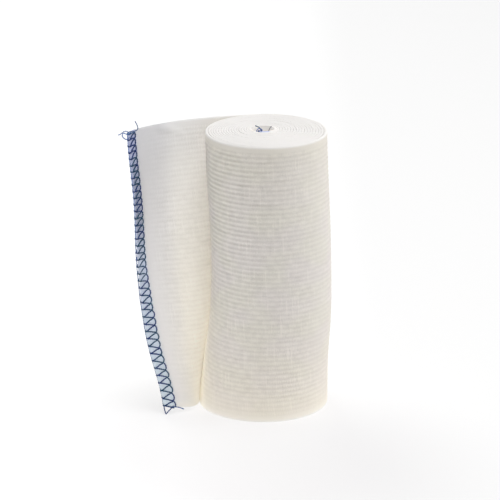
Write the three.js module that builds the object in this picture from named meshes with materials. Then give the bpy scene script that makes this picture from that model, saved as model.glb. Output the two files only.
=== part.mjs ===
// Elastic bandage roll, standing on its end with its free end drawn off to the left.
// Millimetres, +Z up. The origin is on the floor, below the middle of the whole outline.

import * as THREE from 'three';

// The cloth is a strip four inches wide, and as thick as it lies loose
const clothWidth = 102;
const clothThickness = 1.0;

// Neighbouring pieces stay this far apart
const seatGap = 0.3;

// One turn adds this much to the roll's radius
const turnStep = clothThickness + seatGap;

// Ribs run along the cloth between two plain selvages, and are pressed flatter at the foot
const ribCount = 57;
const selvage = 2.1;
const ribDepth = 0.25;
const footRibs = 5;
const edgeRound = 0.35;

// The roll's outline at even heights: it bows to the right and spreads at the foot
const rollOutline = [
  { height: 0, shift: -0.2, radius: 23.45 },
  { height: 17, shift: 0.8, radius: 22.65 },
  { height: 34, shift: 2.35, radius: 22.05 },
  { height: 51, shift: 2.65, radius: 21.7 },
  { height: 68, shift: 2.2, radius: 21.7 },
  { height: 85, shift: 1.25, radius: 21.85 },
  { height: 102, shift: 0.75, radius: 21.75 },
];

// The outer turn runs once round and ends in a step at the back, where the loose end takes over.
// Angles are in degrees from +X, anticlockwise from above. At meanAngle the turn has its stated radius.
const turnEnd = 96;
const turnStart = turnEnd - 360;
const meanAngle = (turnStart + turnEnd) / 2;
const turnSides = 30;

// The eye lies a little behind the middle, with the cloth's inner end as a step in its wall
const eye = { x: 0, y: 2.5, radius: 4.4, innerEnd: 300, sides: 20 };

// The loose end at even heights of the cloth: the angle where it leaves the roll, where its cut edge
// stands, the way it heads there (degrees from -X towards the front), how far its last stretch curls on
// from that (degrees), and how far it lifts or droops
const looseEndShape = [
  { height: 0, leaves: 186, endX: -35.8, endY: -14.4, heading: 12, curl: 0, lift: 3.0, droop: 0 },
  { height: 25.5, leaves: 172, endX: -41.6, endY: -11.1, heading: 11, curl: 15, lift: 1.9, droop: 0 },
  { height: 51, leaves: 151, endX: -44.7, endY: -8.2, heading: 16, curl: 52, lift: 0.9, droop: 0 },
  { height: 76.5, leaves: 126, endX: -45.7, endY: -4.6, heading: 24, curl: 58, lift: 0.4, droop: 0.3 },
  { height: 102, leaves: 102, endX: -48.0, endY: 0.3, heading: 33, curl: 46, lift: 0, droop: 1.4 },
];
const looseEndColumns = 14;

// Its bend leaves both ends over this share of the straight way between them, and then it curls. The
// droop grows with this power of the way out.
const bendReach = 0.4;
const curlLength = 6;
const droopPower = 6;

// Overlocked edges: a band of thread over the cut end, its stitches standing proud of the cloth
const seamWidth = 4.4;
const stitchCount = 39;
const threadHeight = 0.3;
const edgePull = 0.35;
const innerSpring = 1.0;

// Place of the roll's axis, so that the whole outline is centred over the origin
const axisPlace = new THREE.Vector3(11.86, -0.32, 0);

const radians = THREE.MathUtils.degToRad;

// Unit plan vector at an angle in degrees
const planWay = (angle) => new THREE.Vector2(Math.cos(radians(angle)), Math.sin(radians(angle)));

// Smooth value of one column of an evenly spaced table, at a height of the cloth
function smooth(rows, column, height) {
  const last = rows.length - 1;
  const place = (height / clothWidth) * last;
  const below = Math.min(Math.max(Math.floor(place), 0), last - 1);
  const value = (k) => rows[Math.min(Math.max(k, 0), last)][column];
  const [a, b, c, d] = [value(below - 1), value(below), value(below + 1), value(below + 2)];
  const t = place - below;
  return b + 0.5 * t * (c - a + t * (2 * a - 5 * b + 4 * c - d + t * (3 * (b - c) + d - a)));
}

// A closed mesh from points and triangles, turned so that its faces point out
function closedGeometry(points, triangles) {
  const cross = new THREE.Vector3();
  let volume = 0;
  for (const [a, b, c] of triangles) {
    volume += cross.crossVectors(points[b], points[c]).dot(points[a]);
  }
  const index = triangles.flatMap(([a, b, c]) => (volume > 0 ? [a, b, c] : [a, c, b]));
  const geometry = new THREE.BufferGeometry().setFromPoints(points);
  geometry.setIndex(index);
  geometry.computeVertexNormals();
  return geometry;
}

// Heights up the cloth, each with how far its surface lies below the ribs' crests
function ribbedRows() {
  const pitch = (clothWidth - 2 * selvage) / ribCount;
  const rows = [{ height: 0, sink: edgeRound }, { height: edgeRound, sink: 0 }];
  for (let k = 0; k <= ribCount; k += 1) {
    const groove = selvage + k * pitch;
    rows.push({ height: groove, sink: ribDepth * Math.min(1, (k + 1) / footRibs) });
    if (k < ribCount) {
      rows.push({ height: groove + pitch / 2, sink: 0 });
    }
  }
  rows.push({ height: clothWidth - edgeRound, sink: 0 }, { height: clothWidth, sink: edgeRound });
  return rows;
}

// Plan point on the winding's outer face, for an angle counted on through the turns
function windingPoint(angle, height, outward = 0) {
  const radius = smooth(rollOutline, 'radius', height) + (turnStep * (angle - meanAngle)) / 360 + outward;
  const x = smooth(rollOutline, 'shift', height) + radius * Math.cos(radians(angle));
  return new THREE.Vector2(x, radius * Math.sin(radians(angle)));
}

// The roll: rings of the outer turn up its height, with the eye cut through from end to end
function woundRoll() {
  const rows = ribbedRows();
  const points = [];
  const triangles = [];
  const ringSize = turnSides + 1;
  for (const { height, sink } of rows) {
    for (let j = 0; j < ringSize; j += 1) {
      const angle = turnStart + (360 * j) / turnSides;
      const place = windingPoint(angle, height, -sink);
      points.push(new THREE.Vector3(place.x, place.y, height));
    }
  }
  for (let i = 0; i + 1 < rows.length; i += 1) {
    for (let j = 0; j < ringSize; j += 1) {
      const next = (j + 1) % ringSize;
      const [a, b] = [i * ringSize + j, i * ringSize + next];
      const [c, d] = [b + ringSize, a + ringSize];
      triangles.push([a, b, c], [a, c, d]);
    }
  }

  const eyeStart = points.length;
  const eyeSize = eye.sides + 1;
  for (const height of [0, clothWidth]) {
    for (let j = 0; j < eyeSize; j += 1) {
      const place = eyePoint(eye.innerEnd + (360 * j) / eye.sides, 0);
      points.push(new THREE.Vector3(place.x, place.y, height));
    }
  }
  for (let j = 0; j < eyeSize; j += 1) {
    const next = (j + 1) % eyeSize;
    const [a, b] = [eyeStart + j, eyeStart + next];
    const [c, d] = [b + eyeSize, a + eyeSize];
    triangles.push([a, c, b], [a, d, c]);
  }

  const topRing = (rows.length - 1) * ringSize;
  triangles.push(...endFace(points, 0, ringSize, eyeStart, eyeSize, false));
  triangles.push(...endFace(points, topRing, ringSize, eyeStart + eyeSize, eyeSize, true));
  return closedGeometry(points, triangles);
}

// Flat end of the roll between a ring of the outer turn and the eye, facing up or down
function endFace(points, ringFirst, ringSize, eyeFirst, eyeSize, facesUp) {
  const flat = (first, size) => points.slice(first, first + size).map((p) => new THREE.Vector2(p.x, p.y));
  const ring = flat(ringFirst, ringSize);
  const hole = flat(eyeFirst, eyeSize);
  const corner = (k) => (k < ringSize ? ringFirst + k : eyeFirst + k - ringSize);
  const all = [...ring, ...hole];
  const way = (from, to) => new THREE.Vector2().subVectors(all[to], all[from]);
  return THREE.ShapeUtils.triangulateShape(ring, [hole]).map(([a, b, c]) => {
    const turnsLeft = way(a, b).cross(way(a, c)) > 0;
    return turnsLeft === facesUp ? [corner(a), corner(b), corner(c)] : [corner(a), corner(c), corner(b)];
  });
}

// Plan point on the eye's wall, for an angle from the cloth's inner end on through one turn
function eyePoint(angle, inward) {
  const radius = eye.radius + turnStep * ((angle - eye.innerEnd) / 360 - 0.5) - inward;
  return new THREE.Vector2(eye.x, eye.y).addScaledVector(planWay(angle), radius);
}

// Plan route of the loose end's middle while it still hugs the turn below it
class HuggingCurve extends THREE.Curve {
  constructor(height, leaves) {
    super();
    this.height = height;
    this.leaves = leaves;
  }

  getPoint(t, target = new THREE.Vector2()) {
    const first = turnEnd + THREE.MathUtils.radToDeg(seatGap / rollOutline[0].radius);
    const angle = THREE.MathUtils.lerp(first, this.leaves, t);
    return target.copy(windingPoint(angle - 360, this.height, seatGap + clothThickness / 2));
  }
}

// The loose end's route at one height of the cloth: round the roll, then out to the cut edge
function looseEndRoute(height) {
  const shape = (column) => smooth(looseEndShape, column, height);
  const hugging = new HuggingCurve(height, shape('leaves'));
  const leave = hugging.getPoint(1);
  const end = new THREE.Vector2(shape('endX'), shape('endY'));
  const curlWay = planWay(shape('heading') + shape('curl') + 180);
  const bendWay = planWay(shape('heading') + 180);
  const corner = end.clone().addScaledVector(curlWay, -curlLength / 2);
  const bendEnd = corner.clone().addScaledVector(bendWay, -curlLength / 2);
  const reach = bendReach * leave.distanceTo(bendEnd);
  const first = leave.clone().addScaledVector(planWay(shape('leaves') + 90), reach);
  const second = bendEnd.clone().addScaledVector(bendWay, -reach);
  const route = new THREE.CurvePath();
  route.add(hugging);
  route.add(new THREE.CubicBezierCurve(leave, first, second, bendEnd));
  route.add(new THREE.QuadraticBezierCurve(bendEnd, corner, end));
  const hugLength = hugging.getLength();
  const length = route.getLength();
  return { height, route, hugLength, length, lift: shape('lift'), droop: shape('droop') };
}

// Point on the loose end, a distance short of the cut edge and a distance out from the cloth's middle
function looseEndPoint(line, fromEdge, outward) {
  const along = line.length - fromEdge;
  const share = Math.min(along / line.length, 1);
  const place = line.route.getPointAt(share);
  const way = line.route.getTangentAt(share);
  const free = Math.max(0, (along - line.hugLength) / (line.length - line.hugLength));
  const x = place.x + way.y * outward + way.x * Math.max(0, along - line.length);
  const y = place.y - way.x * outward + way.y * Math.max(0, along - line.length);
  return new THREE.Vector3(x, y, line.height + line.lift * free - line.droop * free ** droopPower);
}

// A closed slab between two faces of rows and columns: pointAt gives each point of face 0 and face 1
function slab(rowCount, columnCount, pointAt) {
  const points = [];
  const triangles = [];
  const corner = (i, j, face) => (i * columnCount + j) * 2 + face;
  const quad = (a, b, c, d) => triangles.push([a, b, c], [a, c, d]);
  for (let i = 0; i < rowCount; i += 1) {
    for (let j = 0; j < columnCount; j += 1) {
      points.push(pointAt(i, j, 0), pointAt(i, j, 1));
    }
  }
  for (let i = 0; i + 1 < rowCount; i += 1) {
    for (let j = 0; j + 1 < columnCount; j += 1) {
      quad(corner(i, j, 0), corner(i, j + 1, 0), corner(i + 1, j + 1, 0), corner(i + 1, j, 0));
      quad(corner(i, j, 1), corner(i + 1, j, 1), corner(i + 1, j + 1, 1), corner(i, j + 1, 1));
    }
  }
  for (let i = 0; i + 1 < rowCount; i += 1) {
    const j = columnCount - 1;
    quad(corner(i, 0, 0), corner(i + 1, 0, 0), corner(i + 1, 0, 1), corner(i, 0, 1));
    quad(corner(i, j, 0), corner(i, j, 1), corner(i + 1, j, 1), corner(i + 1, j, 0));
  }
  for (let j = 0; j + 1 < columnCount; j += 1) {
    const i = rowCount - 1;
    quad(corner(0, j, 0), corner(0, j, 1), corner(0, j + 1, 1), corner(0, j + 1, 0));
    quad(corner(i, j, 0), corner(i, j + 1, 0), corner(i, j + 1, 1), corner(i, j, 1));
  }
  return closedGeometry(points, triangles);
}

// The loose end: ribbed on both faces, from the step in the roll to the overlocked edge
function looseEnd() {
  const rows = ribbedRows();
  const lines = rows.map(({ height }) => looseEndRoute(height));
  return slab(rows.length, looseEndColumns + 1, (i, j, face) => {
    const cloth = lines[i].length - seamWidth - seatGap;
    const fromEdge = lines[i].length - (cloth * j) / looseEndColumns;
    const half = clothThickness / 2 - rows[i].sink;
    return looseEndPoint(lines[i], fromEdge, face ? half : -half);
  });
}

// The outer overlocked edge. Its threads stand proud: one straight across at each stitch, one slanting
// back to the needle line, and the needle line itself. Each stitch draws the cut edge in a little.
function outerOverlock() {
  const steps = 3;
  const lines = [];
  for (let i = 0; i <= stitchCount * steps; i += 1) {
    lines.push(looseEndRoute((clothWidth * i) / (stitchCount * steps)));
  }
  return slab(lines.length, steps + 2, (i, j, face) => {
    const phase = i % steps;
    const proud = phase === 0 || j === 0 || j === steps + 1 - phase ? threadHeight : 0;
    const half = clothThickness / 2 + (j === steps + 1 ? -edgeRound : proud);
    const drawn = j === steps + 1 && phase === 0 ? edgePull : 0;
    const fromEdge = seamWidth * (1 - j / (steps + 1)) + drawn;
    return looseEndPoint(lines[i], fromEdge, face ? half : -half);
  });
}

// The inner overlocked edge, which stands in the eye and springs a little way off its wall
function innerOverlock() {
  const columns = 5;
  const arc = THREE.MathUtils.radToDeg(seamWidth / eye.radius);
  const start = eye.innerEnd + 360 - THREE.MathUtils.radToDeg(seatGap / (eye.radius - turnStep));
  return slab(2, columns, (i, j, face) => {
    const share = j / (columns - 1);
    const inward = seatGap + innerSpring * share ** 2 + (face ? 0 : clothThickness);
    const place = eyePoint(start - arc * share, inward);
    return new THREE.Vector3(place.x, place.y, i * clothWidth);
  });
}

const clothFinish = { color: 0xe3ded2, roughness: 0.95, metalness: 0 };
const threadFinish = { color: 0x2b3a6b, roughness: 0.6, metalness: 0 };

function piece(name, geometry, finish) {
  const mesh = new THREE.Mesh(geometry, new THREE.MeshStandardMaterial(finish));
  mesh.name = name;
  return mesh;
}

const bandageRoll = new THREE.Group();
bandageRoll.add(
  piece('wound_roll', woundRoll(), clothFinish),
  piece('loose_end', looseEnd(), clothFinish),
  piece('outer_overlock', outerOverlock(), threadFinish),
  piece('inner_overlock', innerOverlock(), threadFinish),
);
bandageRoll.position.copy(axisPlace);

export default bandageRoll;
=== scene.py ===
# Elastic bandage roll, standing on its end with its free end drawn off to the left.
# Shapes are worked out in millimetres and turned to metres when a mesh is made.

import math

import bpy
import numpy as np
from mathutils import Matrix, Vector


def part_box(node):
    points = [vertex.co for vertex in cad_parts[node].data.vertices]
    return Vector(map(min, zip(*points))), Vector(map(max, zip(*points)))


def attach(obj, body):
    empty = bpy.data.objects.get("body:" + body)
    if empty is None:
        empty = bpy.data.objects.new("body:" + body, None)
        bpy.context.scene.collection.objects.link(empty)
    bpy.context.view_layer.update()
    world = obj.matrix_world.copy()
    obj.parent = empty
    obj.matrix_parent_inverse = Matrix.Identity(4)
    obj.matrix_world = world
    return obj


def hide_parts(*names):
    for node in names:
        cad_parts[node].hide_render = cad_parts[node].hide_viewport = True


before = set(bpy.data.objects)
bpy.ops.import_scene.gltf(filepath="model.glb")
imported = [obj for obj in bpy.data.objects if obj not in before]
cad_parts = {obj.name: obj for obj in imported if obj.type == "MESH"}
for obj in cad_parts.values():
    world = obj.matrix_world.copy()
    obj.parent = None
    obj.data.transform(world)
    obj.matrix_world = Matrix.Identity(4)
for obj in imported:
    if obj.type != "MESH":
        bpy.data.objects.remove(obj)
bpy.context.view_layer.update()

MM = 0.001

# The cloth's width is the roll's height. Wound up, the cloth is pressed thinner.
CLOTH_WIDTH = (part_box("wound_roll")[1][2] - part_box("wound_roll")[0][2]) / MM
CLOTH_THICKNESS = 1.0
PACKED_THICKNESS = 0.88

# Place of the roll's axis in the frame
AXIS_X = 11.86
AXIS_Y = -0.32

# The outer turn's step in radius is the cloth and the gap that its solid keeps
TURN_STEP = 1.3
TURN_END = 96
TURN_START = TURN_END - 360
MEAN_ANGLE = (TURN_START + TURN_END) / 2

# The roll bows to the right and spreads at the foot, here from foot to top
ROLL_OUTLINE = {
    "shift": (-0.2, 0.8, 2.35, 2.65, 2.2, 1.25, 0.75),
    "radius": (23.45, 22.65, 22.05, 21.7, 21.7, 21.85, 21.75),
}

# The loose end from foot to top: the angle where it leaves the roll, where its cut edge stands, the way
# it heads there (degrees from -X towards the front), how far its last stretch curls on from that, and how
# far it lifts or droops
LOOSE_END = {
    "leaves": (186, 172, 151, 126, 102),
    "end_x": (-35.8, -41.6, -44.7, -45.7, -48.0),
    "end_y": (-14.4, -11.1, -8.2, -4.6, 0.3),
    "heading": (12, 11, 16, 24, 33),
    "curl": (0, 15, 52, 58, 46),
    "lift": (3.0, 1.9, 0.9, 0.4, 0),
    "droop": (0, 0, 0, 0.3, 1.4),
}

# How far the bend's handles reach, as a share of its length, how long the curl is, how late the droop sets
# in, and the number of points in each part of the route
BEND_REACH = 0.4
CURL_LENGTH = 6.0
DROOP_POWER = 6
ROUTE_POINTS = {"hug": 60, "bend": 100, "curl": 30}

# Ribs run along the cloth between two plain selvages
RIB_COUNT = 57
SELVAGE = 2.1
RIB_PITCH = (CLOTH_WIDTH - 2 * SELVAGE) / RIB_COUNT
RIB_DEPTH = 0.26
RIB_UNEVENNESS = 0.35
WEFT_PITCH = 0.62

# Share of the ribs' depth that is left at the lowest ribs, beside the seam, and high on the loose end
FOOT_RIBS = 7
FOOT_RIB_SHARE = 0.35
SEAM_RIB_SHARE = 0.1
HIGH_RIB_SHARE = 0.4

# Rows of the outer sheet at its rounded edges, as heights, and then over its ribs
EDGE_ROWS = (0, 0.1, 0.3, 0.65, 1.1, 1.6)
ROWS_PER_RIB = 4

# Columns of the outer sheet: round its turn, along the loose end, and over its last stretch at the seam
TURN_COLUMNS = 96
LOOSE_COLUMNS = 36
SEAM_COLUMNS = 9
SEAM_STRETCH = 5.0

# How far the cut edge bulges between two stitches, and how far their nodes draw it in from there
EDGE_BULGE = 0.15
EDGE_DRAWN = 0.35

# Soft waves of the loose end, and the pucker near the top of its seam. Its two ends are given by their
# distance from the cut edge and their height.
WAVE_HEIGHT = 0.25
WAVE_SIZE = 16
PUCKER_DEPTH = 0.9
PUCKER_WIDTH = 1.3
PUCKER_START = (15.5, 100.5)
PUCKER_END = (25.0, 96.5)

# Where the cloth leaves the roll, it eases to its full thickness over this stretch in millimetres
LEAVING_EASE = (-1, 7)

# Shares of the half thickness by which the selvages and the cut edge are rounded off
SELVAGE_ROUNDING = 0.55
CUT_ROUNDING = 0.2

# The crease between the roll and the loose end, where warm light is painted: how far it reaches along the
# loose end, how much farther for each millimetre of height, and over what length it fades
CREASE_REACH = 18
CREASE_SPREAD = 0.25
CREASE_FADE = 14

# The eye, with the cloth's inner end at the front of its wall
EYE_X = 0.0
EYE_Y = 2.5
EYE_RADIUS = 4.4
INNER_END = 300
INNER_TURNS = 17 + (TURN_START - INNER_END) % 360 / 360
TURN_SIDES = 72

# Section of a turn: its rounded edge, as shares of its half thickness and heights, and its rows between
ROUNDED_EDGE = ((0.92, 0), (0.99, 0.05), (1.0, 0.25))
SECTION_ROWS = 14

# The roll's radius at half height, how far within it the middle of the outermost inner turn lies, the
# radius of the innermost turn's middle, and the step from turn to turn
MIDDLE_RADIUS = ROLL_OUTLINE["radius"][3]
TURN_CLEARANCE = (TURN_STEP + CLOTH_THICKNESS) / 2
FIRST_RADIUS = EYE_RADIUS - (TURN_STEP - PACKED_THICKNESS) / 2
TURN_PITCH = (MIDDLE_RADIUS - TURN_CLEARANCE - FIRST_RADIUS) / INNER_TURNS

# The inner overlocked stretch springs this far off the wall
SEAM_WIDTH = 4.4
SEAM_ARC = SEAM_WIDTH / FIRST_RADIUS
INNER_SPRING = 1.0

# The overlock presses the cloth thinner towards the cut edge, to this share of its thickness
PRESSED = 0.6

# Overlock stitches, closer at the top than at the foot. They reach from the cut edge to the needle line.
STITCH_COUNT = 39
STITCH_GROWTH = 0.115
NEEDLE_LINE = 3.5
NEEDLE_DROP = 0.5

# How far the needle thread bulges at the top, and how much more at the foot
NEEDLE_BULGE = 0.35
BULGE_GROWTH = 0.45

# Thread: its width, how flat its section is, how far it stands off the cloth as a share of its width, and
# how it twists and wanders
THREAD_WIDTH = 0.56
THREAD_FLATNESS = 0.66
THREAD_SIDES = 8
OUTER_STAND_OFF = 0.3
INNER_STAND_OFF = 0.4
TWIST_LENGTH = 1.5
WANDER = 0.12
WANDER_SCALE = 900.0

# Thread ends of the outer overlock. Each starts at a root (height, distance from the cut edge and side of
# the cloth) and goes on by steps from it in millimetres: right, back and up.
OUTER_TAILS = [
    {
        "root": (CLOTH_WIDTH, 0.3, -1),
        "steps": [
            (0, 0, 0), (0.4, -0.2, 0.9), (1.5, -0.3, 1.1), (2.6, -0.2, 1.4), (2.9, 0, 2.4), (2.5, 0.3, 3.5),
            (1.9, 0.5, 4.6),
        ],
        "width": 0.75, "paleness": 0.15,
    },
    {
        "root": (CLOTH_WIDTH, 0.1, -1),
        "steps": [
            (0, 0, 0), (-0.7, -0.2, 0.9), (-1.8, -0.3, 1.1), (-2.7, -0.2, 0.4), (-3.4, 0, -0.1),
            (-4.0, 0.2, -0.4),
        ],
        "width": 0.75, "paleness": 0.35,
    },
    {
        "root": (CLOTH_WIDTH, 0.0, -1),
        "steps": [
            (0, 0, 0), (-1.0, -0.4, 0.1), (-2.2, -0.5, 0.5), (-2.6, -0.4, -0.5), (-1.9, -0.3, -1.5),
            (-0.9, -0.2, -1.9), (-0.1, -0.2, -1.1),
        ],
        "width": 0.8, "paleness": 0.35,
    },
    {
        "root": (0.0, 0.0, -1),
        "steps": [
            (0, 0, 0), (0.1, -0.3, -0.9), (0.4, -0.7, -1.9), (0.7, -0.9, -2.7), (1.4, -0.8, -1.9),
            (2.4, -0.6, -0.9), (3.4, -0.3, 0.2),
        ],
        "width": 0.9, "paleness": 0.05,
    },
    {
        "root": (0.0, 3.5, -1),
        "steps": [(0, 0, 0), (0.9, -0.3, 0.1), (1.9, -0.4, 0.0), (2.9, -0.5, -0.3), (3.7, -0.6, -0.6)],
        "width": 0.8, "paleness": 0.2,
    },
]

# Thread ends of the inner overlock, in steps from the middle of the eye's rim
INNER_TAILS = [
    {
        "steps": [
            (-0.4, -3.6, -0.9), (-0.6, -3.3, 0.1), (-1.0, -1.9, 0.4), (-1.5, -0.2, 0.5), (-2.1, 1.4, 0.4),
            (-2.7, 2.7, 0.3),
        ],
        "width": 0.8, "paleness": 0.1,
    },
    {
        "steps": [
            (-2.6, -3.1, -0.8), (-2.3, -3.0, 0.2), (-1.7, -1.9, 0.5), (-1.0, -1.8, 0.6), (-0.3, -3.2, 0.3),
        ],
        "width": 0.7, "paleness": 0.45,
    },
    {
        "steps": [
            (1.9, -3.4, -0.9), (2.0, -2.8, 0.1), (2.3, -0.9, 0.2), (2.6, 0.9, 0.3), (3.0, 2.3, 0.1),
        ],
        "width": 0.65, "paleness": 1.0,
    },
]

# Camera: its place from the roll's foot, its tilt in degrees, and the length of its lens
CAMERA_DISTANCE = 1100
CAMERA_HEIGHT = 419
CAMERA_SIDE = -4.7
CAMERA_TILT = 18.2
LENS = 231.8
SENSOR_WIDTH = 36

# Light from all round, as a share of the white background
ROOM_LIGHT = 0.12

# Round lamps, with places, targets and sizes in metres and powers in watts
LAMPS = [
    {"name": "top light", "place": (0.1, -0.12, 1.3), "target": (0, 0, 0.05), "size": 0.7, "power": 11.3},
    {"name": "right light", "place": (1.0, 0.0, 0.4), "target": (0, 0, 0.05), "size": 0.8, "power": 6.3},
    {"name": "back light", "place": (-0.6, 0.9, 0.4), "target": (0, 0, 0.05), "size": 1.0, "power": 7},
    {
        "name": "low light", "place": (-0.11, -0.155, 0.02), "target": (0, 0, 0.02), "size": 0.1,
        "power": 0.12,
    },
]

# The floor glows, which keeps its shadows soft. Its glow is weaker at the right, as painted shade, and
# round a place at the roll's foot, in metres, as a painted shadow.
FLOOR_GLOW = 0.75
FLOOR_COLOURS = {
    "base": (0.25, 0.25, 0.25, 1),
    "left": (1, 1, 1, 1),
    "right": (0.93, 0.93, 0.93, 1),
    "foot": (0.85, 0.84, 0.845, 1),
}
SHADED_X = 0.01
SHADED_Y = -0.06

# Thread colours. A paleness of 0 is dark blue, 0.5 is faded blue and 1 is grey.
THREAD_COLOURS = {
    "navy": (0.020, 0.040, 0.150, 1),
    "teal": (0.018, 0.070, 0.120, 1),
    "fibre": (0.10, 0.17, 0.42, 1),
    "faded": (0.14, 0.24, 0.55, 1),
    "grey": (0.16, 0.16, 0.19, 1),
}

# Cloth between its ribs and on them
HOLLOW_COLOUR = (0.70, 0.70, 0.70, 1)
RIB_COLOUR = (0.93, 0.93, 0.93, 1)

# Tints of the cloth, by part. The crease tint is painted warm light, and the grey loose top tint is painted
# shade.
CLOTH_TINTS = {
    "pink patch": (1.0, 0.95, 0.91, 1),
    "cream patch": (1.0, 0.962, 0.885, 1),
    "near selvages": (1.0, 0.955, 0.86, 1),
    "rims": (1.0, 0.985, 0.965, 1),
    "loose foot": (1.0, 0.985, 0.985, 1),
    "loose top": (0.76, 0.77, 0.81, 1),
    "crease": (1.0, 0.96, 0.88, 1),
    "seam foot": (0.78, 0.89, 1.0, 1),
    "seam top": (0.64, 0.71, 1.0, 1),
}

# Painted light on the cloth, by part: a glow that stands in for the light that spreads inside it and
# through it, and that brightens its foot, rims, loose end, crease, seam and eye
NO_PAINTED_LIGHT = (0, 0, 0, 1)
CLOTH_PAINTED_LIGHTS = {
    "roll foot": (0.09, 0.075, 0.05, 1),
    "top rim": (0.075, 0.07, 0.07, 1),
    "loose foot": (0.07, 0.07, 0.09, 1),
    "loose top": (0.0, 0.0, 0.02, 1),
    "crease foot": (0.17, 0.16, 0.13, 1),
    "crease top": (0.12, 0.12, 0.125, 1),
    "crease line": (0.2, 0.185, 0.15, 1),
    "lowest edge": (0.15, 0.145, 0.13, 1),
    "eye": (0.26, 0.26, 0.265, 1),
    "seam foot": (0.16, 0.19, 0.21, 1),
    "seam top": (0.05, 0.06, 0.13, 1),
}

# Light that passes through the cloth: its colour, its share, and how much more passes at the loose end
THROUGH_COLOUR = (0.94, 0.92, 0.87, 1)
THROUGH_SHARE = 0.15
LOOSE_THROUGH_SHARE = 0.3


class Value:
    """A node's output. Arithmetic on it adds Math nodes to its tree."""

    def __init__(self, graph, socket):
        self.graph = graph
        self.socket = socket

    def _math(self, operation, *values):
        return self.graph.add("ShaderNodeMath", {"operation": operation}, dict(enumerate(values)))

    def __add__(self, other):
        return self._math("ADD", self, other)

    def __sub__(self, other):
        return self._math("SUBTRACT", self, other)

    def __rsub__(self, other):
        return self._math("SUBTRACT", other, self)

    def __mul__(self, other):
        return self._math("MULTIPLY", self, other)

    def __truediv__(self, other):
        return self._math("DIVIDE", self, other)

    def __pow__(self, other):
        return self._math("POWER", self, other)

    __radd__ = __add__
    __rmul__ = __mul__

    def cosine(self):
        return self._math("COSINE", self)

    def floor(self):
        return self._math("FLOOR", self)

    def most(self, other):
        return self._math("MAXIMUM", self, other)

    def step(self, low, high):
        """0 below low and 1 above high, and smooth between."""
        inputs = {"Value": self, "From Min": low, "From Max": high}
        return self.graph.add("ShaderNodeMapRange", {"interpolation_type": "SMOOTHSTEP"}, inputs)


class Graph:
    """A node tree. One method adds every kind of node."""

    def __init__(self, tree):
        self.tree = tree

    def add(self, kind, settings=None, inputs=None, output=0):
        node = self.tree.nodes.new(kind)
        for name, value in (settings or {}).items():
            if name == "points":
                self._set_points(node.mapping, value)
            else:
                setattr(node, name, value)
        self.fill(node, inputs or {})
        return Value(self, self._socket(node.outputs, output))

    def fill(self, node, inputs):
        for key, value in inputs.items():
            self.plug(self._socket(node.inputs, key), value)

    def plug(self, socket, value):
        if isinstance(value, Value):
            self.tree.links.new(value.socket, socket)
        else:
            socket.default_value = value

    def also(self, value, output):
        """Another output of the node that a value comes from."""
        return Value(self, self._socket(value.socket.node.outputs, output))

    def vector(self, x, y, z):
        return self.add("ShaderNodeCombineXYZ", None, {"X": x, "Y": y, "Z": z})

    def parts(self, vector):
        """The x, y and z of a vector."""
        x = self.add("ShaderNodeSeparateXYZ", None, {"Vector": vector})
        return x, self.also(x, "Y"), self.also(x, "Z")

    def mix(self, factor, a, b, blend="MIX"):
        settings = {"data_type": "RGBA", "blend_type": blend}
        inputs = {"Factor_Float": factor, "A_Color": a, "B_Color": b}
        return self.add("ShaderNodeMix", settings, inputs, "Result_Color")

    def noise(self, x, y, z=0.0, detail=0.0):
        """Soft noise with a grain of one unit, from 0 to 1 and mostly near a half."""
        inputs = {"Vector": self.vector(x, y, z), "Scale": 1.0, "Detail": detail}
        return self.add("ShaderNodeTexNoise", None, inputs)

    @staticmethod
    def _socket(sockets, key):
        if isinstance(key, int):
            return sockets[key]
        for socket in sockets:
            if socket.identifier == key:
                return socket
        return sockets[key]

    @staticmethod
    def _set_points(mapping, points):
        curve = mapping.curves[0]
        curve.points[0].location = points[0]
        curve.points[-1].location = points[-1]
        for place in points[1:-1]:
            curve.points.new(*place)
        mapping.update()


def smooth(column, height):
    """Smooth value of a column of evenly spaced values, at heights of the cloth."""
    values = np.asarray(column, float)
    last = len(values) - 1
    place = np.asarray(height, float) / CLOTH_WIDTH * last
    below = np.clip(np.floor(place).astype(int), 0, last - 1)
    a, b, c, d = (values[np.clip(below + k, 0, last)] for k in (-1, 0, 1, 2))
    t = place - below
    return b + 0.5 * t * (c - a + t * (2 * a - 5 * b + 4 * c - d + t * (3 * (b - c) + d - a)))


def uneven(along, across, size, seed):
    """Smooth unevenness from about -1 to 1, with lumps of one size in millimetres."""
    rng = np.random.default_rng(seed)
    total = 0
    waves = 9
    for _ in range(waves):
        way = rng.uniform(0, 2 * math.pi)
        length = size * rng.uniform(1.4, 3.2)
        start = rng.uniform(0, 2 * math.pi)
        onward = along * math.cos(way) + across * math.sin(way)
        total = total + np.sin(2 * math.pi * onward / length + start)
    return total / math.sqrt(waves)


def soft_step(value, low, high):
    """0 below low and 1 above high, and smooth between."""
    t = np.clip((value - low) / (high - low), 0, 1)
    return t * t * (3 - 2 * t)


def eased(share, value, low, high):
    """A share below low that grows smoothly to 1 above high."""
    return share + (1 - share) * soft_step(value, low, high)


def winding_point(angle, height, outward):
    """Plan point of the winding, for an angle counted on through the turns."""
    radius = smooth(ROLL_OUTLINE["radius"], height) + TURN_STEP * (angle - MEAN_ANGLE) / 360 + outward
    x = smooth(ROLL_OUTLINE["shift"], height) + radius * np.cos(np.radians(angle))
    return np.stack([x, radius * np.sin(np.radians(angle))], -1)


def plan_way(angle):
    """Unit plan vector at an angle in degrees."""
    return np.array([math.cos(math.radians(angle)), math.sin(math.radians(angle))])


def bezier(corners, count):
    """Points of a Bezier curve after its first one."""
    t = np.linspace(0, 1, count + 1)[1:, None]
    order = len(corners) - 1
    weights = [math.comb(order, k) * t**k * (1 - t) ** (order - k) for k in range(order + 1)]
    return sum(weight * corner for weight, corner in zip(weights, corners))


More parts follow.
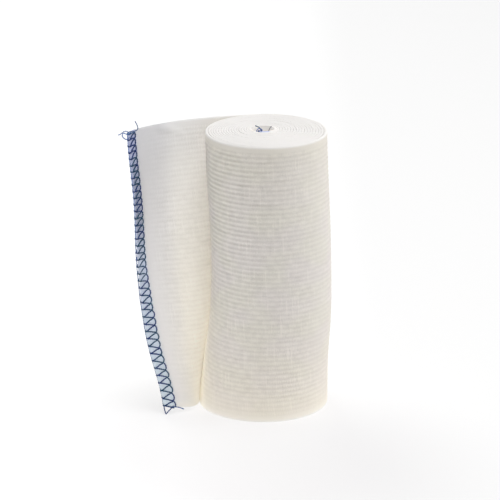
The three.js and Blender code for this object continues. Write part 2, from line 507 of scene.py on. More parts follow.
def loose_end_route(height):
    """Plan route of the loose end's middle at one height: its points, their distances from the outer
    turn's end, and the distance at which it leaves the roll."""
    leaves = smooth(LOOSE_END["leaves"], height)
    middle = -CLOTH_THICKNESS / 2
    hugging = winding_point(np.linspace(TURN_END, leaves, ROUTE_POINTS["hug"]), height, middle)
    end = np.array([smooth(LOOSE_END["end_x"], height), smooth(LOOSE_END["end_y"], height)])
    heading = smooth(LOOSE_END["heading"], height) + 180
    bend_way = plan_way(heading)
    corner = end - CURL_LENGTH / 2 * plan_way(heading + smooth(LOOSE_END["curl"], height))
    bend_end = corner - CURL_LENGTH / 2 * bend_way
    reach = BEND_REACH * np.linalg.norm(bend_end - hugging[-1])
    first = hugging[-1] + reach * plan_way(leaves + 90)
    bend = bezier((hugging[-1], first, bend_end - reach * bend_way, bend_end), ROUTE_POINTS["bend"])
    curl = bezier((bend_end, corner, end), ROUTE_POINTS["curl"])
    points = np.concatenate([hugging, bend, curl])
    distance = np.concatenate([[0], np.cumsum(np.linalg.norm(np.diff(points, axis=0), axis=1))])
    return points, distance, distance[len(hugging) - 1]


def loose_end_point(height, from_edge):
    """Points of the loose end's middle at one height, at distances short of its cut edge."""
    points, distance, hug_length = loose_end_route(height)
    length = distance[-1]
    along = length - np.asarray(from_edge, float)
    inside = np.clip(along, 0, length)
    past = (along - inside)[:, None]
    end_way = (points[-1] - points[-2]) / np.linalg.norm(points[-1] - points[-2])
    plan = np.stack([np.interp(inside, distance, points[:, k]) for k in (0, 1)], -1) + past * end_way
    free = np.clip((along - hug_length) / (length - hug_length), 0, None)
    lift = smooth(LOOSE_END["lift"], height) * free
    droop = smooth(LOOSE_END["droop"], height) * free**DROOP_POWER
    return np.concatenate([plan, (height + lift - droop)[:, None]], -1)


def new_object(name, points, faces, edges=()):
    """A mesh object from points in millimetres from the roll's foot."""
    mesh = bpy.data.meshes.new(name)
    placed = (np.asarray(points, float) + (AXIS_X, AXIS_Y, 0)) * MM
    mesh.from_pydata(placed.tolist(), list(edges), [tuple(int(k) for k in face) for face in faces])
    mesh.update()
    thing = bpy.data.objects.new(name, mesh)
    bpy.context.scene.collection.objects.link(thing)
    return thing


def shade_smooth(thing):
    thing.data.polygons.foreach_set("use_smooth", [True] * len(thing.data.polygons))


def store(thing, name, values):
    """Keep a number or a vector for each point of a mesh."""
    kind, key = ("FLOAT", "value") if values.ndim == 1 else ("FLOAT_VECTOR", "vector")
    attribute = thing.data.attributes.new(name, kind, "POINT")
    attribute.data.foreach_set(key, values.astype(np.float32).ravel())


def normals_of(grid):
    """Unit normals of a grid of points, rows up the cloth and columns along it."""
    down_columns = np.gradient(grid, axis=0)
    along_rows = np.gradient(grid, axis=1)
    normal = np.cross(along_rows, down_columns)
    return normal / np.linalg.norm(normal, axis=-1, keepdims=True)


def sheet_faces(row_count, column_count):
    """Faces of a closed sheet whose points are numbered by face, then row, then column."""
    index = np.arange(2 * row_count * column_count).reshape(2, row_count, column_count)
    quads = []

    def strip(a, b, c, d):
        quads.append(np.stack([part.ravel() for part in (a, b, c, d)], -1))

    front, back = index
    strip(front[:-1, :-1], front[:-1, 1:], front[1:, 1:], front[1:, :-1])
    strip(back[:-1, :-1], back[1:, :-1], back[1:, 1:], back[:-1, 1:])
    strip(front[0, :-1], back[0, :-1], back[0, 1:], front[0, 1:])
    strip(front[-1, :-1], front[-1, 1:], back[-1, 1:], back[-1, :-1])
    strip(front[:-1, 0], front[1:, 0], back[1:, 0], back[:-1, 0])
    strip(front[:-1, -1], back[:-1, -1], back[1:, -1], front[1:, -1])
    return np.concatenate(quads)


def stitch_height(number):
    """Height of a stitch's node, counted from the top. Half numbers lie between two nodes."""
    share = np.asarray(number, float) / STITCH_COUNT
    down = share * (1 - STITCH_GROWTH) + STITCH_GROWTH * share**2
    return CLOTH_WIDTH * (1 - down)


def stitch_phase(height):
    """How far down its stitch a height lies, from 0 to 1."""
    numbers = np.arange(STITCH_COUNT + 1)
    number = np.interp(-np.asarray(height, float), -stitch_height(numbers), numbers)
    return number % 1.0


def cloth_rows():
    """Heights of the cloth's rows: close at its rounded edges, and several to a rib."""
    ribs = SELVAGE + RIB_PITCH / ROWS_PER_RIB * np.arange(RIB_COUNT * ROWS_PER_RIB + 1)
    return np.concatenate([EDGE_ROWS, ribs, CLOTH_WIDTH - np.array(EDGE_ROWS[::-1])])


def packed_half(along, beside, turn_length):
    """Half thickness of the cloth towards the eye: it fills the widening gap until it leaves the roll."""
    share = np.clip(1 + along / turn_length, 0, 1)
    packed = PACKED_THICKNESS / 2 + (TURN_STEP - TURN_PITCH) * share
    return packed + (CLOTH_THICKNESS / 2 - packed) * soft_step(beside, *LEAVING_EASE)


def pressed(from_edge):
    """Share of the cloth's thickness that the overlock leaves, short of the cut edge."""
    return eased(PRESSED, np.asarray(from_edge, float), 0, NEEDLE_LINE + 0.5)


def face_height(across, along, from_edge, seed, half):
    """How far one face stands off the cloth's middle: rounded edges, ribs and small unevenness."""
    from_selvage = np.minimum(across, CLOTH_WIDTH - across)
    ribbed = soft_step(from_selvage, SELVAGE - 0.2, SELVAGE + 0.5)
    ribbed = ribbed * eased(FOOT_RIB_SHARE, across, SELVAGE, SELVAGE + FOOT_RIBS * RIB_PITCH)
    ribbed = ribbed * eased(SEAM_RIB_SHARE, from_edge, 4, 13 + across / 15)
    ribbed = ribbed * (1 - (1 - HIGH_RIB_SHARE) * soft_step(along, 0, 25) * soft_step(across, 55, 85))
    fullness = 1 + RIB_UNEVENNESS * uneven(along, across * 3, 5, seed)
    groove = 0.5 + 0.5 * np.cos(2 * math.pi * (across - SELVAGE) / RIB_PITCH)
    rounded = half * SELVAGE_ROUNDING * (1 - soft_step(from_selvage, -0.25, 0.4))
    cut = half * CUT_ROUNDING * (1 - soft_step(from_edge, -0.3, 0.4))
    return half * pressed(from_edge) - RIB_DEPTH * ribbed * fullness * groove**1.5 - rounded - cut


def ridge(x, y, start, end, width):
    """A soft ridge on the cloth from one place to another, 1 at its start and fading to its end."""
    start = np.asarray(start, float)
    way = np.asarray(end, float) - start
    share = ((x - start[0]) * way[0] + (y - start[1]) * way[1]) / way.dot(way)
    held = np.clip(share, 0, 1)
    away = np.hypot(x - start[0] - held * way[0], y - start[1] - held * way[1])
    return np.exp(-((away / width) ** 2)) * (1 - held)


def crease_share(angles, beside, height):
    """How much each column of one row lies in the crease beside the roll, from 0 to 1."""
    behind = angles - smooth(LOOSE_END["leaves"], height) + 360
    on_turn = soft_step(behind, -15, 0) * (1 - soft_step(behind, 6, 45))
    on_turn = on_turn * (1 - soft_step(height, 25, 80))
    reach = CREASE_REACH + CREASE_SPREAD * height
    off_turn = soft_step(beside, -8, 0) * (1 - soft_step(beside, reach - CREASE_FADE, reach))
    return np.concatenate([on_turn, off_turn[TURN_COLUMNS:]])


def outer_cloth():
    """The outer turn and the loose end, as one ribbed sheet up to its cut edge."""
    rows = cloth_rows()
    angles = np.linspace(TURN_START, TURN_END, TURN_COLUMNS, endpoint=False)
    middle = []
    place = []
    past_leaving = []
    crease = []
    for height in rows:
        plan = winding_point(angles, height, -CLOTH_THICKNESS / 2)
        turn = np.concatenate([plan, np.full((len(angles), 1), height)], -1)
        _, distance, hug_length = loose_end_route(height)
        length = distance[-1]
        drawn_in = EDGE_DRAWN * abs(2 * stitch_phase(height) - 1) ** 3 - EDGE_BULGE
        loose = np.linspace(length, SEAM_STRETCH, LOOSE_COLUMNS, endpoint=False)
        from_edge = np.concatenate([loose, np.linspace(SEAM_STRETCH, drawn_in, SEAM_COLUMNS)])
        radius = smooth(ROLL_OUTLINE["radius"], height)
        turn_along = np.radians(angles - TURN_END) * radius
        middle.append(np.concatenate([turn, loose_end_point(height, from_edge)]))
        along = np.concatenate([turn_along, length - from_edge])
        place.append(np.stack([along, np.full(len(along), height), length - along], -1))
        beside = along - hug_length
        past_leaving.append(beside)
        crease.append(crease_share(angles, beside, height))
    middle = np.array(middle)
    place = np.array(place)
    along, across, from_edge = (place[..., k] for k in range(3))
    normal = normals_of(middle)

    loose = soft_step(along, 4, 20)
    wave = WAVE_HEIGHT * uneven(along, across, WAVE_SIZE, 3) * loose
    pucker = PUCKER_DEPTH * ridge(from_edge, across, PUCKER_START, PUCKER_END, PUCKER_WIDTH)
    middle = middle + normal * (wave - pucker)[..., None]
    normal = normals_of(middle)
    outward = face_height(across, along, from_edge, 1, CLOTH_THICKNESS / 2)
    half = packed_half(along, np.array(past_leaving), -along.min())
    inward = face_height(across, along, from_edge, 2, half)
    front = middle + normal * outward[..., None]
    back = middle - normal * inward[..., None]
    points = np.concatenate([front.reshape(-1, 3), back.reshape(-1, 3)])
    thing = new_object("outer_cloth", points, sheet_faces(*across.shape))
    store(thing, "cloth_place", np.concatenate([place.reshape(-1, 3)] * 2))
    store(thing, "crease", np.ravel(crease * 2))
    shade_smooth(thing)
    middle_row = along[len(rows) // 2]
    return thing, float(middle_row[-1] - middle_row[0])


def new_tree(name, inputs):
    """A Geometry Nodes tree with named inputs after its geometry, and the graph that fills it."""
    tree = bpy.data.node_groups.new(name, "GeometryNodeTree")
    tree.interface.new_socket("Geometry", in_out="INPUT", socket_type="NodeSocketGeometry")
    for label, kind in inputs.items():
        tree.interface.new_socket(label, in_out="INPUT", socket_type="NodeSocket" + kind)
    tree.interface.new_socket("Geometry", in_out="OUTPUT", socket_type="NodeSocketGeometry")
    graph = Graph(tree)
    geometry = graph.add("NodeGroupInput")
    given = {label: graph.also(geometry, label) for label in inputs}
    return graph, geometry, given


def close_tree(graph, geometry, material):
    """Finish a tree with real, smoothly shaded faces in one material."""
    real = graph.add("GeometryNodeRealizeInstances", None, {"Geometry": geometry})
    shaded = graph.add("GeometryNodeSetShadeSmooth", None, {"Geometry": real})
    finished = graph.add("GeometryNodeSetMaterial", None, {"Geometry": shaded, "Material": material})
    output = graph.tree.nodes.new("NodeGroupOutput")
    graph.plug(output.inputs["Geometry"], finished)
    return graph.tree


def grow(thing, tree, **values):
    """Run a tree on an object, and keep its result as the object's plain mesh."""
    modifier = thing.modifiers.new(tree.name, "NODES")
    modifier.node_group = tree
    for socket in tree.interface.items_tree:
        label = socket.name.lower().replace(" ", "_")
        if socket.in_out == "INPUT" and label in values:
            modifier[socket.identifier] = values[label]
    evaluated = thing.evaluated_get(bpy.context.evaluated_depsgraph_get())
    grown = bpy.data.meshes.new_from_object(evaluated)
    thing.modifiers.clear()
    rough = thing.data
    thing.data = grown
    bpy.data.meshes.remove(rough)
    grown.name = thing.name


def table_curve(graph, share, column):
    """A column of evenly spaced values as a smooth curve over the cloth's width."""
    low = min(column)
    span = max(column) - low
    points = [(k / (len(column) - 1), (value - low) / span) for k, value in enumerate(column)]
    curve = graph.add("ShaderNodeFloatCurve", {"points": points}, {"Value": share})
    return curve * span + low


def wound_turns_tree(material):
    """Turns of cloth from the eye out, bowed and spread as the roll is."""
    numbers = (
        "Turns", "Inner Radius", "Outer Radius", "Start Angle", "Seam Width", "Seam Spring", "Cloth Before",
        "Edge Wander", "Seed",
    )
    kinds = {"Section": "Object", **dict.fromkeys(numbers, "Float")}
    graph, _, given = new_tree("wound turns", kinds)
    inner = given["Inner Radius"]
    outer = given["Outer Radius"]
    sizes = {
        "Resolution": TURN_SIDES,
        "Rotations": given["Turns"],
        "Start Radius": inner,
        "End Radius": outer,
        "Height": 0.0,
        "Reverse": True,
    }
    spiral = graph.add("GeometryNodeCurveSpiral", None, sizes)
    along = graph.add("GeometryNodeSplineParameter", None, None, "Length")
    stored = {"Geometry": spiral, "Name": "along", "Value": along}
    spiral = graph.add("GeometryNodeStoreNamedAttribute", {"data_type": "FLOAT"}, stored)
    spiral = graph.add("GeometryNodeSetCurveNormal", {"mode": "Z_UP"}, {"Curve": spiral})
    section = graph.add("GeometryNodeObjectInfo", None, {"Object": given["Section"]}, "Geometry")
    section = graph.add("GeometryNodeMeshToCurve", None, {"Mesh": section})
    swept = {"Curve": spiral, "Profile Curve": section, "Fill Caps": True}
    turns = graph.add("GeometryNodeCurveToMesh", None, swept)
    turned = {
        "Geometry": turns,
        "Translation": (0.0, 0.0, CLOTH_WIDTH),
        "Rotation": graph.vector(0.0, 0.0, given["Start Angle"]),
    }
    turns = graph.add("GeometryNodeTransform", None, turned)

    x, y, height = graph.parts(graph.add("GeometryNodeInputPosition"))
    length = graph.add("GeometryNodeInputNamedAttribute", {"data_type": "FLOAT"}, {"Name": "along"})
    radius = (x * x + y * y) ** 0.5
    share = (radius - inner) / (outer - inner)
    up = height / CLOTH_WIDTH
    widest = table_curve(graph, up, ROLL_OUTLINE["radius"]) - (MIDDLE_RADIUS - outer)
    spread = (widest - inner) / (outer - inner)
    loose = (1.0 - length / given["Seam Width"]).most(0.0)
    spring = loose * loose * given["Seam Spring"]
    stretch = (inner + (radius - inner) * spread - spring) / radius
    shift = table_curve(graph, up, ROLL_OUTLINE["shift"])
    wander = (graph.noise(length * 0.05, given["Seed"], 0.0, 1.0) - 0.5) * given["Edge Wander"]
    new_x = x * stretch + EYE_X + (shift - EYE_X) * share
    new_y = y * stretch + EYE_Y - EYE_Y * share
    moved = graph.vector(
        (new_x + AXIS_X) * MM,
        (new_y + AXIS_Y) * MM,
        (height + wander).most(0.0) * MM,
    )
    keep = graph.vector(length - given["Cloth Before"], height, length)
    stored = {"Geometry": turns, "Name": "cloth_place", "Value": keep}
    turns = graph.add("GeometryNodeStoreNamedAttribute", {"data_type": "FLOAT_VECTOR"}, stored)
    turns = graph.add("GeometryNodeSetPosition", None, {"Geometry": turns, "Position": moved})
    return close_tree(graph, turns, material)


def turn_section():
    """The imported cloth's section as a closed outline: x across its thickness and y up its width."""
    half = PACKED_THICKNESS / 2
    edge = [(half * share, height) for share, height in ROUNDED_EDGE]
    inside = [(half, height) for height in np.linspace(0.3, CLOTH_WIDTH - 0.3, SECTION_ROWS)[1:-1]]
    side = edge + inside + [(x, CLOTH_WIDTH - y) for x, y in reversed(edge)]
    outline = side + [(-x, y) for x, y in reversed(side)]
    count = len(outline)
    ring = [(k, (k + 1) % count) for k in range(count)]
    mesh = bpy.data.meshes.new("turn_section")
    mesh.from_pydata([(x, y, 0) for x, y in outline], ring, [])
    thing = bpy.data.objects.new("turn_section", mesh)
    bpy.context.scene.collection.objects.link(thing)
    return thing


def inner_turns(material):
    """The fine turns inside the outer one, from the cut edge in the eye on."""
    section = turn_section()
    thing = new_object("inner_turns", [(0, 0, 0)], [])
    outer = MIDDLE_RADIUS - TURN_CLEARANCE
    first = FIRST_RADIUS - TURN_PITCH * SEAM_ARC / (2 * math.pi)
    turns = INNER_TURNS + SEAM_ARC / (2 * math.pi)
    length = math.pi * (first + outer) * turns
    grow(
        thing,
        wound_turns_tree(material),
        section=section,
        turns=turns,
        inner_radius=first,
        outer_radius=outer,
        start_angle=math.radians(INNER_END) - SEAM_ARC,
        seam_width=SEAM_WIDTH,
        seam_spring=INNER_SPRING,
        cloth_before=length + 2 * math.pi * MIDDLE_RADIUS,
        edge_wander=0.35,
        seed=4.0,
    )
    bpy.data.objects.remove(section)
    return thing, length


class OuterEdge:
    """The cut edge of the loose end. Side 1 of its cloth faces out and side -1 faces in."""

    @staticmethod
    def place(height, from_edge, lift):
        """A place beside the cloth's middle. A lift of 1 or -1 is a thread on its outer or inner face."""
        middle = loose_end_point(height, np.array([from_edge, from_edge + 0.2]))
        way = middle[0] - middle[1]
        out = np.array([way[1], -way[0], 0]) / np.hypot(way[0], way[1])
        surface = CLOTH_THICKNESS / 2 * pressed(from_edge) + THREAD_WIDTH * OUTER_STAND_OFF
        return middle[0] + out * lift * surface


class InnerEdge:
    """The cut edge in the eye, on a stretch of cloth that springs off the eye's wall."""

    @staticmethod
    def place(height, from_edge, lift):
        """A place beside the cloth's middle, as on the outer edge."""
        share = 1 - from_edge / SEAM_WIDTH
        back = (SEAM_WIDTH - from_edge) / FIRST_RADIUS
        sprung = FIRST_RADIUS - TURN_PITCH * back / (2 * math.pi) - INNER_SPRING * share * abs(share)
        radius = sprung + lift * (PACKED_THICKNESS / 2 + THREAD_WIDTH * INNER_STAND_OFF)
        angle = math.radians(INNER_END) - back
        return np.array([EYE_X + radius * math.cos(angle), EYE_Y + radius * math.sin(angle), height])


def looper_route(edge, side, rng):
    """A looper thread: over to the needle line and back round the cut edge at each stitch, in steps of a
    height, a distance from the cut edge and a lift."""
    route = []
    for number in range(STITCH_COUNT + 1):
        start = stitch_height(number) + rng.normal(0, 0.1)
        needle = start - NEEDLE_DROP + rng.normal(0, 0.08)
        line = NEEDLE_LINE + rng.normal(0, 0.1)
        steps = [
            (start, -0.15, -0.45 * side),
            (start, -0.12, 0.5),
            (start - 0.02, 0.15, 0.95),
            (0.5 * (start + needle) + 0.08, 0.5 * line, 1.05),
            (needle + 0.12, line - 0.5, 1.05),
            (needle, line + 0.1, 0.8),
        ]
        if number < STITCH_COUNT:
            below = stitch_height(number + 1)
            steps += [
                (needle - 0.3, line - 0.1, 0.95),
                (needle + 0.35 * (below - needle), 0.66 * line, 1.1),
                (needle + 0.75 * (below - needle), 0.28 * line, 1.05),
                (below + 0.1, 0.12, 0.95),
                (below + 0.03, -0.12, 0.5),
            ]
        route += [edge.place(height, across, side * lift) for height, across, lift in steps]
    return route


def needle_route(edge, side, rng):
    """The needle thread: an arc from each needle hole to the next, bulging away from the cut edge."""
    route = []
    for number in range(STITCH_COUNT):
        start = stitch_height(number) - NEEDLE_DROP
        end = stitch_height(number + 1) - NEEDLE_DROP
        bulge = NEEDLE_BULGE + BULGE_GROWTH * number / STITCH_COUNT + rng.normal(0, 0.08)
        for share in (0, 0.15, 0.35, 0.6, 0.85):
            height = start + (end - start) * share
            out = NEEDLE_LINE + 0.05 + bulge * math.sin(math.pi * share) ** 0.7
            lift = 0.85 if share == 0 else 1.15
            route.append(edge.place(height, out, side * lift))
    return route


def edge_route(edge, rng):
    """The thin line in which the two loopers' loops catch each other along the cut edge."""
    numbers = np.arange(0, STITCH_COUNT + 0.1, 0.5)
    return [edge.place(stitch_height(number), rng.normal(-0.12, 0.04), 0.7) for number in numbers]


def thread_tails(tails, place_root):
    """Routes of loose thread ends, from their roots on by steps."""
    routes = []
    for tail in tails:
        root = place_root(tail)
        routes.append({**tail, "points": [root + np.array(step) for step in tail["steps"]]})
    return routes


def thread_tree(material):
    """Turns routes into spun thread: an oval section that twists along them, scaled by width_share."""
    kinds = dict.fromkeys(("Thread Width", "Step", "Twist Length", "Wander"), "Float")
    graph, geometry, given = new_tree("spun thread", kinds)
    curves = graph.add("GeometryNodeMeshToCurve", None, {"Mesh": geometry})
    curves = graph.add("GeometryNodeCurveSplineType", {"spline_type": "CATMULL_ROM"}, {"Curve": curves})
    spaced = {"Curve": curves, "Length": given["Step"] * MM}
    curves = graph.add("GeometryNodeResampleCurve", {"mode": "LENGTH"}, spaced)
    place = graph.add("GeometryNodeInputPosition")
    noise = graph.add("ShaderNodeTexNoise", None, {"Vector": place, "Scale": WANDER_SCALE}, "Color")
    centred = graph.add("ShaderNodeVectorMath", {"operation": "SUBTRACT"}, {0: noise, 1: (0.5, 0.5, 0.5)})
    scaled = {0: centred, "Scale": given["Wander"] * MM}
    wander = graph.add("ShaderNodeVectorMath", {"operation": "SCALE"}, scaled)
    curves = graph.add("GeometryNodeSetPosition", None, {"Geometry": curves, "Offset": wander})
    length = graph.add("GeometryNodeSplineParameter", None, None, "Length")
    tilt = length * (2 * math.pi) / (given["Twist Length"] * MM)
    curves = graph.add("GeometryNodeSetCurveTilt", None, {"Curve": curves, "Tilt": tilt})
    share = graph.add("GeometryNodeInputNamedAttribute", {"data_type": "FLOAT"}, {"Name": "width_share"})
    radius = given["Thread Width"] * (MM / 2)
    round_ring = {"Resolution": THREAD_SIDES, "Radius": radius}
    ring = graph.add("GeometryNodeCurvePrimitiveCircle", None, round_ring)
    flattened = {"Geometry": ring, "Scale": (1.0, THREAD_FLATNESS, 1.0)}
    ring = graph.add("GeometryNodeTransform", None, flattened)
    swept = {"Curve": curves, "Profile Curve": ring, "Scale": share, "Fill Caps": True}
    return close_tree(graph, graph.add("GeometryNodeCurveToMesh", None, swept), material)


def overlock(name, edge, tails, step, material):
    """The overlock along a cut edge, on both its faces, and its thread ends, as one piece."""
    rng = np.random.default_rng(5)
    routes = list(tails)
    for side in (-1, 1):
        routes.append({"points": looper_route(edge, side, rng), "width": 1.0, "paleness": 0.0})
        routes.append({"points": needle_route(edge, side, rng), "width": 1.0, "paleness": 0.0})
    joined = edge_route(edge, rng)
    routes.append({"points": joined, "width": 0.6, "paleness": np.linspace(0.5, 0.1, len(joined))})
    counts = [len(route["points"]) for route in routes]
    points = np.concatenate([route["points"] for route in routes])
    ends = np.cumsum(counts)
    links = [(k, k + 1) for k in range(len(points) - 1) if k + 1 not in ends]
    thing = new_object(name, points, [], links)
    for attribute, key in (("width_share", "width"), ("paleness", "paleness")):
        values = [np.broadcast_to(route[key], count) for route, count in zip(routes, counts)]
        store(thing, attribute, np.concatenate(values))
    tree = thread_tree(material)
    grow(thing, tree, thread_width=THREAD_WIDTH, step=step, twist_length=TWIST_LENGTH, wander=WANDER)
    return thing


def new_material(name):
    """A material, the graph of its nodes, and its shader."""
    material = bpy.data.materials.new(name)
    material.use_nodes = True
    return material, Graph(material.node_tree), material.node_tree.nodes["Principled BSDF"]


def floor_material():
    """A pale, glowing floor, with painted shade at its right and a painted shadow round the roll's foot."""
    material, graph, shader = new_material("pale floor")
    x, y, _ = graph.parts(graph.add("ShaderNodeTexCoord", None, None, "Object"))
    away = ((x - SHADED_X) ** 2.0 + (y - SHADED_Y) ** 2.0) ** 0.5
    # Painted shade at the right and a painted shadow round the roll's foot
    glow = graph.mix(x.step(0.03, 0.06), FLOOR_COLOURS["left"], FLOOR_COLOURS["right"])
    glow = graph.mix(1.0 - away.step(0.03, 0.1), glow, FLOOR_COLOURS["foot"])
    look = {
        "Base Color": FLOOR_COLOURS["base"],
        "Roughness": 0.6,
        "Emission Color": glow,
        "Emission Strength": FLOOR_GLOW,
    }
    graph.fill(shader, look)
    return material


def thread_material():
    """Dark blue spun thread with paler fibres."""
    material, graph, shader = new_material("overlock thread")
    x, y, z = graph.parts(graph.add("ShaderNodeTexCoord", None, None, "Object"))
    patches = graph.noise(x * 300, y * 300, z * 300).step(0.38, 0.62)
    fibres = graph.noise(x * 4000, y * 4000, z * 2500).step(0.45, 0.75)
    pale = graph.add("ShaderNodeAttribute", {"attribute_name": "paleness"}, None, "Fac")
    colour = graph.mix(patches, THREAD_COLOURS["navy"], THREAD_COLOURS["teal"])
    colour = graph.mix(fibres * 0.35, colour, THREAD_COLOURS["fibre"])
    colour = graph.mix(pale.step(0, 0.5), colour, THREAD_COLOURS["faded"])
    colour = graph.mix(pale.step(0.5, 1.0), colour, THREAD_COLOURS["grey"])
    graph.fill(shader, {"Base Color": colour, "Roughness": 0.75, "Specular IOR Level": 0.3})
    return material


def make_camera():
    """A camera in front of the part and above it, looking straight on and down."""
    data = bpy.data.cameras.new("camera")
    data.lens = LENS
    data.sensor_width = SENSOR_WIDTH
    data.clip_end = 20
    camera = bpy.data.objects.new("camera", data)
    place = (AXIS_X + CAMERA_SIDE, AXIS_Y - CAMERA_DISTANCE, CAMERA_HEIGHT)
    camera.location = [value * MM for value in place]
    camera.rotation_euler = (math.radians(90 - CAMERA_TILT), 0, 0)
    bpy.context.scene.collection.objects.link(camera)
    bpy.context.scene.camera = camera


def make_lamp(name, place, target, size, power):
    """A round lamp that points at a target and isn't seen itself."""
    data = bpy.data.lights.new(name, "AREA")
    data.shape = "DISK"
    data.size = size
    data.energy = power
    light = bpy.data.objects.new(name, data)
    light.location = place
    way = np.asarray(target, float) - np.asarray(place, float)
    tilt = math.acos(-way[2] / np.linalg.norm(way))
    light.rotation_euler = (tilt, 0, math.atan2(way[1], way[0]) - math.pi / 2)
    light.visible_camera = False
    bpy.context.scene.collection.objects.link(light)


def make_studio():
    """The floor, the lamps and a white background that lights the part only a little."""
    bpy.ops.mesh.primitive_plane_add(size=12)
    floor = bpy.context.object
    floor.name = "floor"
    floor.data.materials.append(floor_material())
    for lamp in LAMPS:
        make_lamp(**lamp)
    world = bpy.data.worlds.new("studio")
    bpy.context.scene.world = world
    world.use_nodes = True
    graph = Graph(world.node_tree)
    seen = graph.add("ShaderNodeLightPath", None, None, "Is Camera Ray")
    background = world.node_tree.nodes["Background"]
    graph.plug(background.inputs["Color"], (1, 1, 1, 1))
    graph.plug(background.inputs["Strength"], seen * (1 - ROOM_LIGHT) + ROOM_LIGHT)
    bpy.context.scene.view_settings.view_transform = "Standard"


class ClothPlace:
    """A point's place on the cloth in millimetres, and masks of the cloth's parts from 0 to 1."""

    def __init__(self, graph):
        place = graph.add("ShaderNodeAttribute", {"attribute_name": "cloth_place"}, None, "Vector")
        self.along, self.across, self.from_edge = graph.parts(place)
        self.up = self.across / CLOTH_WIDTH
        self.loose = self.along.step(5, 40)
        self.crease = graph.add("ShaderNodeAttribute", {"attribute_name": "crease"}, None, "Fac")
        self.seam = 1.0 - self.from_edge.step(NEEDLE_LINE + 0.2, NEEDLE_LINE + 1.6)
        from_middle = (self.across - CLOTH_WIDTH / 2).most(CLOTH_WIDTH / 2 - self.across)
        self.rims = from_middle.step(CLOTH_WIDTH / 2 - 1, CLOTH_WIDTH / 2)
        # The first turn round the eye, where painted light brightens the eye's shaded wall
        first_turn = (1.0 - self.from_edge.step(26, 56)) * (1.0 - self.along.step(-900, -700))
        self.eye = first_turn * (1.0 - self.across.step(CLOTH_WIDTH - 0.4, CLOTH_WIDTH - 0.05))

    def ribbed(self):
        """How strongly the ribs show: not on the selvages, less at the foot, seam and crease, and less at
        the right, where their fading is painted light.
        """
        low_selvage = self.across.step(SELVAGE - 0.3, SELVAGE + 0.5)
        high_selvage = 1.0 - self.across.step(CLOTH_WIDTH - SELVAGE - 0.5, CLOTH_WIDTH - SELVAGE + 0.3)
        # The ribs are painted half as strong at the right of the roll, for the flat bright light there:
        # painted light
        right = self.along.step(-66, -48) * (1.0 - self.along.step(-20, -5))
        near_foot = FOOT_RIB_SHARE + self.across.step(2, 13) * (1 - FOOT_RIB_SHARE)
        flatter = self.loose * (self.up.step(0.65, 0.9) * 0.75 - 0.2) + self.crease * (1.0 - self.up) * 0.4
        ribbed = low_selvage * high_selvage * self.from_edge.step(4, 14) * near_foot
        return ribbed * (1.0 - right * 0.5) * (1.0 - flatter)


def weave(graph, cloth):
    """The cloth's lightness, from hollow to rib, and its fine relief in millimetres."""
    along = cloth.along
    across = cloth.across
    row = (across - SELVAGE) / RIB_PITCH
    number = row.floor()
    rib = 0.5 - (row * (2 * math.pi)).cosine() * 0.5
    drift = graph.noise(along * 0.12, across * 0.25) * 1.5
    pick = along / WEFT_PITCH + drift + number * 0.5
    bead = 0.5 + (pick * (2 * math.pi)).cosine() * 0.5
    dashes = graph.noise(along * 0.42, number * 5.3) - 0.5
    lines = graph.noise(along * 2.2, across * 0.1, 4.0).step(0.64, 0.76)
    specks = graph.noise(along * 1.9, across * 1.9, 9.0)
    bright = specks.step(0.62, 0.76)
    dark = 1.0 - specks.step(0.24, 0.38)
    fibres = graph.noise(along * 2.2, across * 9, 2.0, 2.0) - 0.5
    ribbed = cloth.ribbed()
    level = 0.6 + ribbed * ((rib - 0.5) * 0.38 + rib * (bead - 0.5) * 0.25 + dashes * 0.6)
    level = level + ribbed * (lines * 0.4 + bright * 0.25 - dark * 0.3) + fibres * 0.4 + cloth.rims * 0.15
    relief = ribbed * (rib * bead * 0.1 + dashes * 0.1 + lines * 0.03) + fibres * 0.06
    return level, relief


def cloth_tint(graph, cloth):
    """Pale patches, warmer near the selvages, painted warm light in the crease, painted shade greying the
    loose end towards its top, blue at the seam.
    """
    tints = CLOTH_TINTS
    patches = graph.noise(cloth.along * 0.07, cloth.across * 0.1, 6.0).step(0.35, 0.65)
    tint = graph.mix(patches, tints["pink patch"], tints["cream patch"])
    near_selvages = 1.0 - cloth.up * (1.0 - cloth.up) * 4.0
    tint = graph.mix(near_selvages * 0.7, tint, tints["near selvages"])
    tint = graph.mix(cloth.rims, tint, tints["rims"])
    # The loose end is greyer and darker towards its top: painted shade
    loose = graph.mix(cloth.up**2.0, tints["loose foot"], tints["loose top"])
    tint = graph.mix(cloth.loose, tint, loose)
    # Painted warm light in the crease
    tint = graph.mix(cloth.crease * (1.0 - cloth.up) * 0.8, tint, tints["crease"])
    seam = graph.mix(cloth.up, tints["seam foot"], tints["seam top"])
    return graph.mix(cloth.seam, tint, seam)


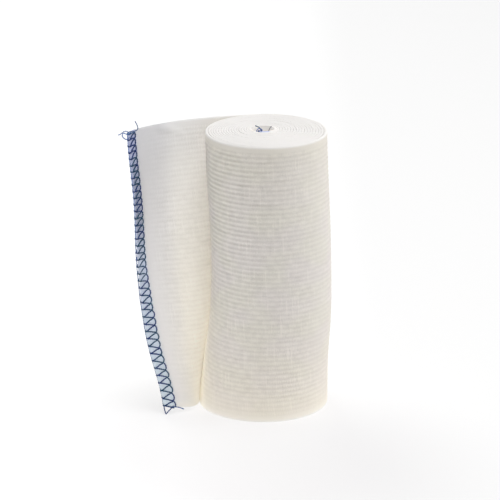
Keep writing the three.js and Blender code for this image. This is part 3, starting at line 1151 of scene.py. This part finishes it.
def painted_cloth_light(graph, cloth):
    """The cloth's painted light, given as a glow: most in the eye and in the crease."""
    glows = CLOTH_PAINTED_LIGHTS
    glow = graph.mix((1.0 - cloth.up) ** 4.0, NO_PAINTED_LIGHT, glows["roll foot"])
    glow = graph.mix(cloth.rims * cloth.up, glow, glows["top rim"])
    loose = graph.mix(cloth.up, glows["loose foot"], glows["loose top"])
    glow = graph.mix(cloth.loose, glow, loose)
    crease = graph.mix(cloth.up, glows["crease foot"], glows["crease top"])
    glow = graph.mix(cloth.crease**3.0, glow, crease)
    glow = graph.mix(cloth.crease**12.0 * (1.0 - cloth.up), glow, glows["crease line"])
    glow = graph.mix(1.0 - cloth.across.step(0.2, 3.5), glow, glows["lowest edge"])
    glow = graph.mix(cloth.eye, glow, glows["eye"])
    seam = graph.mix(cloth.up, glows["seam foot"], glows["seam top"])
    return graph.mix(cloth.seam, glow, seam)


def cloth_material():
    """Cotton and elastic cloth: soft ribs crossed by weft threads, letting some light through."""
    material, graph, shader = new_material("elastic cloth")
    cloth = ClothPlace(graph)
    level, relief = weave(graph, cloth)
    colour = graph.mix(level, HOLLOW_COLOUR, RIB_COLOUR)
    bumped = {"Strength": 1.0, "Distance": MM, "Height": relief}
    look = {
        "Base Color": graph.mix(1.0, colour, cloth_tint(graph, cloth), "MULTIPLY"),
        "Roughness": 0.95,
        "Specular IOR Level": 0.2,
        # The emission is painted light
        "Emission Color": painted_cloth_light(graph, cloth),
        "Emission Strength": 1.0,
        "Normal": graph.add("ShaderNodeBump", None, bumped, "Normal"),
    }
    graph.fill(shader, look)

    through = graph.add("ShaderNodeBsdfTranslucent", None, {"Color": THROUGH_COLOUR})
    share = cloth.loose * LOOSE_THROUGH_SHARE + THROUGH_SHARE
    mixed = {"Fac": share, "Shader": Value(graph, shader.outputs["BSDF"]), "Shader_001": through}
    surface = graph.add("ShaderNodeMixShader", None, mixed)
    graph.plug(material.node_tree.nodes["Material Output"].inputs["Surface"], surface)
    return material


make_camera()
make_studio()
elastic_cloth = cloth_material()
turns, turns_length = inner_turns(elastic_cloth)
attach(turns, "root")
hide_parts("wound_roll", "inner_overlock")
turns_length * MM

cloth, cloth_length = outer_cloth()
cloth.data.materials.append(elastic_cloth)
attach(cloth, "root")
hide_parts("loose_end")

blue_thread = thread_material()
outer_tails = thread_tails(OUTER_TAILS, lambda tail: OuterEdge.place(*tail["root"]))
threads = overlock("outer_overlock_threads", OuterEdge, outer_tails, 0.28, blue_thread)
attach(threads, "root")
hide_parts("outer_overlock")

inner_tails = thread_tails(INNER_TAILS, lambda tail: np.array([EYE_X, EYE_Y, CLOTH_WIDTH]))
inner_threads = overlock("inner_overlock_threads", InnerEdge, inner_tails, 0.4, blue_thread)
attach(inner_threads, "root")
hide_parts("inner_overlock")
